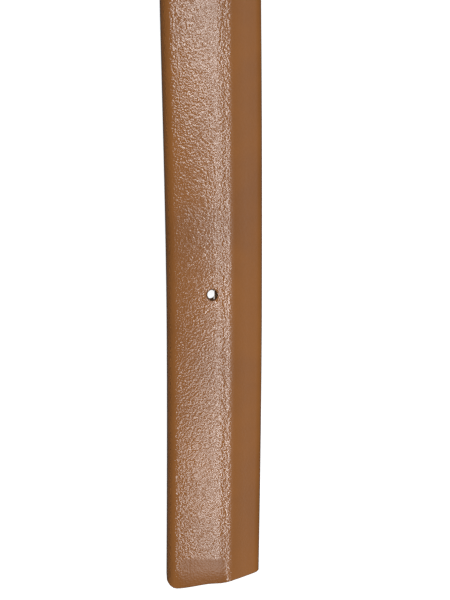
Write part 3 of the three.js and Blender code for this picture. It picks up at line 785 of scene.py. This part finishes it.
def make_roller(material):
    """A tube rolled from sheet: its two edges meet in a fine line, and its ends are turned round."""
    low, high = node_box("buckle_roller")
    middle = (low + high) / 2
    outer, inner, line_half = 3.3, 2.1, 0.06
    roller = rod("roller", outer, (low.x, middle.y, middle.z), (high.x, middle.y, middle.z), 64)
    drill(roller, rod("bore", inner, (-30, middle.y, middle.z), (30, middle.y, middle.z), 64),
          block("meeting_line", -30, 30, middle.y - inner - 0.1, middle.y - outer - 0.7,
                middle.z - line_half, middle.z + line_half))
    bevel_all(roller, 0.3, 3, 50)
    return fit(roller, "roller", material, ["buckle_roller"], 40)


def make_prong(material):
    """A cast prong: an eye on the bar, and an arm that climbs to the roller and rests on it."""
    bar, front = node_middle("buckle_bar"), node_middle("buckle_roller")
    half, eye_radius, bore_radius = 1.55, 3.25, 1.8
    over = front.z + 4.8
    prong = block("prong", -half, half, bar.y + 1.8, bar.y + 3.0, bar.z - 1.1, bar.z + 1.3)
    edit(prong)
    pick(prong, lambda p, n: n.y > 0.9)
    # The arm climbs to the roller's top and lies along it: places along the belt and heights.
    path = [(bar.y + 3.0, bar.z + 0.1), (bar.y + 6.0, bar.z + 0.55), (bar.y + 9.0, bar.z + 1.45),
            (bar.y + 12.5, bar.z + 2.45), (bar.y + 16.0, bar.z + 3.3), (bar.y + 19.5, bar.z + 4.05),
            (front.y - 4.6, over - 0.25), (front.y - 3.0, over - 0.02), (front.y, over),
            (front.y + 1.6, over - 0.02), (front.y + 2.55, over - 0.12)]
    tip_taper = 0.82
    for (y0, z0), (y1, z1) in zip(path, path[1:]):
        extrude_by(0, y1 - y0, z1 - z0)
        if y1 > front.y + 1:
            bpy.ops.transform.resize(value=(tip_taper, 1, tip_taper))
    done()
    bevel_all(prong, 0.75, 4, 60)
    eye = rod("eye", eye_radius, (-half, bar.y, bar.z), (half, bar.y, bar.z), 48)
    bevel_all(eye, 0.4, 3, 60)
    weld(prong, eye)
    drill(prong, rod("bore", bore_radius, (-4, bar.y, bar.z), (4, bar.y, bar.z), 48))
    return fit(prong, "prong", material, ["buckle_prong"], 40)


# ---- The screw posts ----

def make_post(node, material):
    """A round post with a wide, gently domed head at the back, bored for its screw."""
    low, high = node_box(node)
    y = (low.y + high.y) / 2
    head, bore_floor = 0.9, 2.6
    name = node.replace("chape_", "") + "_barrel"
    post = rod(name, HEAD_RADIUS, (POST_X, y, low.z), (POST_X, y, low.z + head), 64)
    edit(post)
    pick(post, lambda p, n: n.z < -0.9)
    bpy.ops.mesh.inset(thickness=0.9 * MM)
    pick(post, lambda p, d: p.z < low.z + 0.01 and math.hypot(p.x - POST_X, p.y - y) > 4.0, "EDGE")
    bpy.ops.transform.resize(value=(0.97, 0.97, 1), center_override=Vector((POST_X, y, 0)) * MM)
    bpy.ops.transform.translate(value=(0, 0, 0.3 * MM))
    # The barrel rises from the head's other side, and is bored down from its end.
    pick(post, lambda p, n: n.z > 0.9)
    bpy.ops.mesh.inset(thickness=2.2 * MM)
    extrude_by(0, 0, high.z - low.z - head)
    bpy.ops.mesh.inset(thickness=0.6 * MM)
    extrude_by(0, 0, -(high.z - low.z - bore_floor))
    done()
    bevel_all(post, 0.12, 2, 50)
    return fit(post, "strap", material, [node], 40)


def make_screw(node, material):
    """A round, domed head with a straight driving slot, on a plain shank."""
    low, high = node_box(node)
    y = (low.y + high.y) / 2
    head, rim, tip = 1.05, 0.55, 0.5
    base = high.z - head
    name = node.replace("chape_", "") + "_driven"
    screw = rod(name, HEAD_RADIUS, (POST_X, y, base), (POST_X, y, base + rim), 64)
    edit(screw)
    pick(screw, lambda p, n: n.z > 0.9)
    # Three insets, each higher than the last, raise the dome.
    for inset, rise in ((0.25, 0.2), (0.7, 0.17), (1.1, 0.1)):
        bpy.ops.mesh.inset(thickness=inset * MM)
        bpy.ops.transform.translate(value=(0, 0, rise * MM))
    # The shank, and its tapered tip.
    pick(screw, lambda p, n: n.z < -0.9)
    bpy.ops.mesh.inset(thickness=3.1 * MM)
    extrude_by(0, 0, low.z - base + tip + 0.1)
    bpy.ops.mesh.inset(thickness=0.35 * MM)
    extrude_by(0, 0, -tip)
    done()
    # Each driving slot stopped at its own angle, in radians.
    turned = 0.35 if "front" in node else -0.6
    slot_half, slot_depth = 0.45, 0.55
    slot = block("driving_slot", POST_X - 6, POST_X + 6, y - slot_half, y + slot_half,
                 high.z - slot_depth, high.z + 1)
    edit(slot)
    bpy.ops.mesh.select_all(action="SELECT")
    bpy.ops.transform.rotate(value=turned, orient_axis="Z", center_override=Vector((POST_X, y, high.z)) * MM)
    done()
    drill(screw, slot)
    bevel_all(screw, 0.08, 2, 50)
    return fit(screw, "strap", material, [node], 40)


# ---- The zip ----

def make_tape(side, material):
    """One woven tape: a flat band with a corded edge that the teeth are clamped on."""
    node = "zip_tape_left" if side < 0 else "zip_tape_right"
    low, high = node_box(node)
    middle = (low.z + high.z) / 2
    far = low.x if side < 0 else high.x
    cord_x, cord_radius, thinner = side * 2.9, 0.62, 0.08
    tape = block(node.replace("zip_tape", "woven_tape"), cord_x, far, low.y, high.y,
                 low.z + thinner, high.z - thinner)
    bevel_all(tape, 0.15, 2)
    cord = rod("cord", cord_radius, (cord_x, low.y, middle), (cord_x, high.y, middle), 16)
    weld(tape, cord)
    return fit(tape, "strap", material, [node], 50)


def make_teeth(side, material):
    """Cast teeth at an even pitch: each clamps the tape's cord and ends in a narrow nose."""
    node = "zip_teeth_left" if side < 0 else "zip_teeth_right"
    low, high = node_box(node)
    middle = (low.z + high.z) / 2
    # The left row starts half a pitch later, so that the two rows interlock.
    margin, tooth_half = 0.7, 0.62
    start = low.y + margin + (TEETH_PITCH / 2 if side < 0 else 0)
    tooth = block("tooth", side * 1.5, side * 3.5, start - tooth_half, start + tooth_half, low.z, high.z)
    edit(tooth)
    # The nose is lower and narrower than the clamped legs, and swells again before its end.
    pick(tooth, lambda p, n: -side * n.x > 0.9)
    nose = Vector((0, start, middle)) * MM
    for reach, wider, higher in ((0.75, 0.62, 0.72), (0.55, 1.35, 1.0), (0.45, 0.7, 0.85)):
        extrude_by(-side * reach, 0, 0)
        bpy.ops.transform.resize(value=(1, wider, higher), center_override=nose)
    done()
    bevel_all(tooth, 0.12, 1, 40)
    count = int((high.y - low.y - 2 * margin - TEETH_PITCH / 2) / TEETH_PITCH) + 1
    modify(tooth, "ARRAY", count=count, use_relative_offset=False, use_constant_offset=True,
           constant_offset_displace=(0, TEETH_PITCH * MM, 0))
    tooth.name = tooth.data.name = node.replace("zip_teeth", "teeth_row")
    return fit(tooth, "strap", material, [node], 40)


def make_stop(node, name, material):
    """A stop is a small clamp pressed round the tape's cord, with a fold line across it."""
    low, high = node_box(node)
    middle = (low + high) / 2
    stop = block(name, low.x, high.x, low.y, high.y, low.z, high.z)
    edit(stop)
    cut((0, middle.y, 0), (0, 1, 0))
    on_fold = lambda p, d: abs(d.x) > 0.9 and abs(p.y - middle.y) < 0.05
    pick(stop, on_fold, "EDGE")
    bpy.ops.mesh.bevel(offset=0.35 * MM, segments=2, affect="EDGES")
    pick(stop, on_fold, "EDGE")
    bpy.ops.transform.resize(value=(1, 1, 0.8), center_override=middle * MM)
    done()
    bevel_all(stop, 0.3, 3, 40)
    return fit(stop, "strap", material, [node], 40)


def make_plate(low, high, z0, z1):
    """One of the slider's two shields, between two heights."""
    tail_width, notch = 0.8, 1.1
    plate = block("plate", low.x, high.x, low.y, high.y, z0, z1)
    edit(plate)
    # The tail end, where the closed teeth run out, is narrower. The head end is notched in a V.
    for y in (low.y + 4.2, high.y - 2.6):
        cut((0, y, 0), (0, 1, 0))
    pick(plate, lambda p, d: p.y < low.y + 0.1 and abs(d.x) > 0.9, "EDGE")
    bpy.ops.transform.resize(value=(tail_width, 1, 1))
    cut((0, 0, 0), (1, 0, 0))
    pick(plate, lambda p, d: p.y > high.y - 0.1 and abs(d.z) > 0.9 and abs(p.x) < 0.1, "EDGE")
    bpy.ops.transform.translate(value=(0, -notch * MM, 0))
    pick(plate, lambda p, d: abs(d.z) > 0.9 and abs(p.x) > 2, "EDGE")
    bpy.ops.mesh.bevel(offset=0.9 * MM, segments=4, affect="EDGES")
    done()
    bevel_all(plate, 0.28, 3, 50)
    return plate


def make_slider(pivot, material):
    """Two shield-shaped plates over and under the teeth, joined by a wedge, with two ears below."""
    low, high = node_box("zip_slider")
    teeth_low, teeth_high = node_box("zip_teeth_left")
    middle = (teeth_low.z + teeth_high.z) / 2
    gap, plate = 0.3, 0.9
    slider = make_plate(low, high, teeth_high.z + gap, teeth_high.z + gap + plate)
    slider.name = slider.data.name = "slider_body"
    parts = [make_plate(low, high, teeth_low.z - gap - plate, teeth_low.z - gap),
             block("wedge", -0.6, 0.6, high.y - 3.4, high.y - 1.4, middle - 1.4, middle + 1.4)]
    rim_inner, slit_half, rim_half = 3.5, 0.6, 1.5
    ear_inner, ear_outer, ear_radius, foot_spread = 1.9, 2.7, 1.2, 2.1
    for side in (-1, 1):
        # Rims along both plates keep the teeth in, with a slit between them for the tape.
        for z0, z1 in ((middle + slit_half, middle + rim_half), (middle - rim_half, middle - slit_half)):
            parts.append(block("rim", side * rim_inner, side * (high.x - 0.02),
                               low.y + 2.2, high.y - 0.6, z0, z1))
        x0, x1 = side * ear_inner, side * ear_outer
        parts.append(rod("ear", ear_radius, (x0, pivot.y, pivot.z), (x1, pivot.y, pivot.z), 32))
        foot = block("foot", x0, x1, pivot.y - ear_radius, pivot.y + ear_radius, pivot.z, teeth_low.z - 1.0)
        edit(foot)
        # The ear's foot spreads along the plate.
        pick(foot, lambda p, d: p.z > pivot.z + 0.5 and abs(d.x) > 0.9, "EDGE")
        bpy.ops.transform.resize(value=(1, foot_spread, 1), center_override=Vector((0, pivot.y, 0)) * MM)
        done()
        parts.append(foot)
    weld(slider, *parts)
    drill(slider, rod("pull_bore", 0.7, (-4, pivot.y, pivot.z), (4, pivot.y, pivot.z), 24))
    bevel_all(slider, 0.07, 1, 50)
    return fit(slider, "slider", material, ["zip_slider"], 40)


def make_pull(pivot, material):
    """A flat tab with a sunk panel and an eye at its end, on a crossbar that turns in the ears."""
    low, high = node_box("zip_pull")
    half, thick, panel_depth = high.x, 0.45, 0.14
    shoulder, eye_y = pivot.y - 1.5, low.y + 3.5
    tab = block("pull_tab", -half, half, low.y, shoulder, pivot.z - thick, pivot.z + thick)
    edit(tab)
    pick(tab, lambda p, d: abs(d.z) > 0.9 and p.y < low.y + 0.1, "EDGE")
    bpy.ops.mesh.bevel(offset=3.3 * MM, segments=12, affect="EDGES")
    pick(tab, lambda p, d: abs(d.z) > 0.9 and p.y > shoulder - 0.1, "EDGE")
    bpy.ops.mesh.bevel(offset=1.9 * MM, segments=4, affect="EDGES")
    pick(tab, lambda p, n: n.y > 0.9)
    extrude_by(0, pivot.y - shoulder, 0)
    # A panel is sunk into both faces.
    pick(tab, lambda p, n: abs(n.z) > 0.9)
    bpy.ops.mesh.inset(thickness=0.9 * MM)
    for side in (-1, 1):
        pick(tab, lambda p, n: side * n.z > 0.9 and abs(p.x) < 0.5 and low.y + 6 < p.y < shoulder - 2)
        bpy.ops.transform.translate(value=(0, 0, -side * panel_depth * MM))
    done()
    bevel_all(tab, 0.14, 3, 50)
    weld(tab, rod("crossbar", 0.45, (-2.7, pivot.y, pivot.z), (2.7, pivot.y, pivot.z), 24))
    drill(tab, rod("eye", 1.5, (0, eye_y, pivot.z - 2), (0, eye_y, pivot.z + 2), 40))
    return fit(tab, "pull", material, ["zip_pull"], 40)


# ---- Stitching ----

def make_stitch(pitch, radius):
    """One stitch: a short round thread, whose two ends taper and dive into the leather."""
    stitch = rod("stitch", radius, (-pitch * 0.3, 0, 0), (pitch * 0.3, 0, 0), 8)
    edit(stitch)
    for side in (-1, 1):
        pick(stitch, lambda p, n: side * n.x > 0.9)
        for reach, dive, taper in ((0.13, 0.75, 0.7), (0.06, 1.2, 0.75)):
            extrude_by(side * pitch * reach, 0, -radius * dive)
            bpy.ops.transform.resize(value=(1, taper, taper))
    done()
    return stitch


def sew(name, strap, rows, front, thread, pitch=3.4, radius=0.42):
    """Rows of stitches laid on the strap: each row is a list of (x, y) corners, in millimetres."""
    stitch = make_stitch(pitch, radius)
    lift = 0.08
    bpy.context.view_layer.update()
    top = 30.0 if front else -10.0
    down = Vector((0, 0, -1 if front else 1))
    copies = []
    for row in rows:
        for (xa, ya), (xb, yb) in zip(row, row[1:]):
            length = math.hypot(xb - xa, yb - ya)
            count = max(round(length / pitch), 1)
            along = Vector(((xb - xa) / length, (yb - ya) / length, 0))
            for k in range(count):
                part = (k + 0.5) / count
                x, y = xa + (xb - xa) * part, ya + (yb - ya) * part
                hit, place, normal, _ = strap.ray_cast(Vector((x, y, top)) * MM, down)
                # A stitch that would fall through a gap or a hole is left out.
                if not hit or (place.z > STRAP_DEPTH / 2 * MM) != front:
                    continue
                side = normal.cross(along).normalized()
                forward = side.cross(normal).normalized()
                turn = Matrix((forward, side, normal)).transposed().to_4x4()
                copy = stitch.copy()
                copy.data = stitch.data.copy()
                bpy.context.scene.collection.objects.link(copy)
                copy.matrix_world = Matrix.Translation(place + normal * lift * MM) @ turn
                copies.append(copy)
    bpy.data.objects.remove(stitch)
    only(*copies)
    bpy.ops.object.join()
    stitches = new_piece(name)
    return fit(stitches, "strap", thread, [], 60)


def sew_strap(strap, thread):
    """Two rows along the back seam, one round the slot and one across the buckle end."""
    # The back's rows start past the hem and follow the tail's bow in steps of 8 mm.
    seam, past_hem, step = 3.0, 14, 8.0
    steps = [Y_TIP + past_hem + step * k for k in range(int((Y_SLOT - Y_TIP - past_hem - step) / step) + 1)]
    rows = [[(side * seam + bow_at(y), y) for y in steps] for side in (-1, 1)]
    rows += [[(side * seam, Y_SLOT_END + 5), (side * seam, node_middle("chape_post_rear").y - 20)]
             for side in (-1, 1)]
    sew("back_seam_stitches", strap, rows, False, thread)
    out = SLOT_HALF + 2.6
    corners = [(-out, Y_SLOT - 3), (out, Y_SLOT - 3), (out, Y_SLOT_END + 3), (-out, Y_SLOT_END + 3),
               (-out, Y_SLOT - 3)]
    sew("zip_stitches", strap, [corners], False, thread)
    end = Y_END - 3.5
    sew("chape_stitches", strap, [[(-12, end), (12, end)]], True, thread)


leather, flesh, edge = tan_leather(), flesh_leather(), burnished_edge()
brass = worn_metal("antiqued_brass", "#8a6531", "#c39a55", 0.24, 0.42, (1, 0.04, 1))
nickel = worn_metal("tumbled_nickel_plate", "#b4b0a8", "#cbc7be", 0.2, 0.38, (0.04, 1, 1))
turned_nickel = worn_metal("turned_nickel_plate", "#aeaaa2", "#c6c2ba", 0.18, 0.34, (1, 0.05, 1))
tape_cloth, stay_cloth, thread = woven_tape(), stay_cotton(), waxed_thread()
pull_pivot = Vector(next(j for j in frame["joints"] if j["name"] == "pull_swing")["pos_m"]) / MM

strap = make_strap(leather, flesh, edge)
sew_strap(strap, thread)
make_keeper(leather, edge)
make_chape(chape_leather(), edge)
make_frame_of_buckle(nickel)
make_bar(turned_nickel)
make_roller(nickel)
make_prong(nickel)
for place in ("front", "rear"):
    make_post("chape_post_" + place, turned_nickel)
    make_screw("chape_screw_" + place, turned_nickel)
for side, word in ((-1, "left"), (1, "right")):
    make_tape(side, tape_cloth)
    make_teeth(side, brass)
    make_stop("zip_top_stop_" + word, "top_stop_" + word, brass)
    stay = frame["nodes"]["zip_stay_" + word]
    stay.material_slots[0].material = stay_cloth
make_stop("zip_bottom_stop", "bottom_stop", brass)
make_slider(pull_pivot, brass)
make_pull(pull_pivot, brass)

# ---- Camera, lights and floor ----

CAMERA_DISTANCE = 480.0
CAMERA_TILT = math.radians(9.5)
VIEW_LENGTH = 232.5  # millimetres of belt that the view takes in


def set_camera():
    data = bpy.data.cameras.new("camera")
    camera = bpy.data.objects.new("camera", data)
    bpy.context.scene.collection.objects.link(camera)
    target = Vector((4.9, Y_HOLE - 1.9, STRAP_DEPTH))
    back = Vector((0, math.sin(CAMERA_TILT), math.cos(CAMERA_TILT)))
    up = Vector((0, math.cos(CAMERA_TILT), -math.sin(CAMERA_TILT)))
    right = up.cross(back)
    turn = Matrix((right, up, back)).transposed()
    camera.matrix_world = Matrix.Translation((target + back * CAMERA_DISTANCE) * MM) @ turn.to_4x4()
    data.sensor_fit = "VERTICAL"
    data.angle_y = 2 * math.atan(VIEW_LENGTH / 2 / CAMERA_DISTANCE)
    data.clip_start = 0.01
    bpy.context.scene.camera = camera


def set_floor():
    """A white light table: it shows white, and lights the belt's underside only a little."""
    bpy.ops.object.select_all(action="DESELECT")
    bpy.ops.mesh.primitive_plane_add(size=8, location=(0, 0, -0.5 * MM))
    floor = new_piece("floor")
    material = bpy.data.materials.new("white_light_table")
    material.use_nodes = True
    tree = material.node_tree
    tree.nodes.clear()
    seen = add_node(tree, "ShaderNodeLightPath").outputs["Is Camera Ray"]
    dim = add_node(tree, "ShaderNodeBsdfDiffuse", {"Color": (0.12, 0.12, 0.12, 1)})
    bright = add_node(tree, "ShaderNodeBsdfPrincipled",
                      {"Base Color": (0.35, 0.35, 0.35, 1), "Roughness": 0.9,
                       "Emission Color": (1, 1, 1, 1), "Emission Strength": 0.9})
    mix = add_node(tree, "ShaderNodeMixShader", {0: seen, 1: dim.outputs[0], 2: bright.outputs[0]})
    add_node(tree, "ShaderNodeOutputMaterial", {"Surface": mix.outputs[0]})
    floor.data.materials.append(material)


def area_light(name, place, aim, width, length, watts, spread=180):
    """A flat, soft light with its length along the belt, turned to face a point."""
    data = bpy.data.lights.new(name, "AREA")
    data.shape = "RECTANGLE"
    data.size = width * MM
    data.size_y = length * MM
    data.energy = watts
    data.spread = math.radians(spread)
    light = bpy.data.objects.new(name, data)
    bpy.context.scene.collection.objects.link(light)
    back = (Vector(place) - Vector(aim)).normalized()
    across = Vector((0, 1, 0)).cross(back).normalized()
    turn = Matrix((across, back.cross(across), back)).transposed()
    light.matrix_world = Matrix.Translation(Vector(place) * MM) @ turn.to_4x4()


def set_lights():
    world = bpy.data.worlds.new("studio")
    bpy.context.scene.world = world
    world.use_nodes = True
    world.node_tree.nodes["Background"].inputs["Color"].default_value = (1, 1, 1, 1)
    world.node_tree.nodes["Background"].inputs["Strength"].default_value = 0.09
    # What the tail's grain reflects: two strips to the right of the crease, and a panel at each end.
    tail_middle = Y_HOLE - 110
    area_light("strip_near", (140, tail_middle, 700), (0, tail_middle, 0), 40, 900, 0.5)
    area_light("strip_far", (190, tail_middle, 700), (0, tail_middle, 0), 40, 900, 3.4)
    area_light("panel_head", (-20, Y_HOLE + 170, 700), (0, Y_HOLE + 100, 0), 140, 140, 1.1)
    area_light("panel_tail", (-10, Y_HOLE - 320, 700), (0, Y_HOLE - 100, 0), 140, 140, 0.8)
    # The rest of the belt has soft boxes of its own, too narrow in spread to reach the tail.
    area_light("box_middle", (170, 190, 600), (0, 190, 0), 300, 300, 0.8, 60)
    area_light("box_buckle", (-200, 480, 460), (0, 490, 0), 260, 260, 0.5, 70)
    area_light("box_buckle_right", (330, 560, 300), (0, 500, 5), 200, 300, 0.2, 75)
    area_light("box_head", (0, 900, 240), (0, 520, 5), 300, 160, 0.2, 75)


set_camera()
set_floor()
set_lights()
bpy.context.scene.view_settings.view_transform = "Standard"
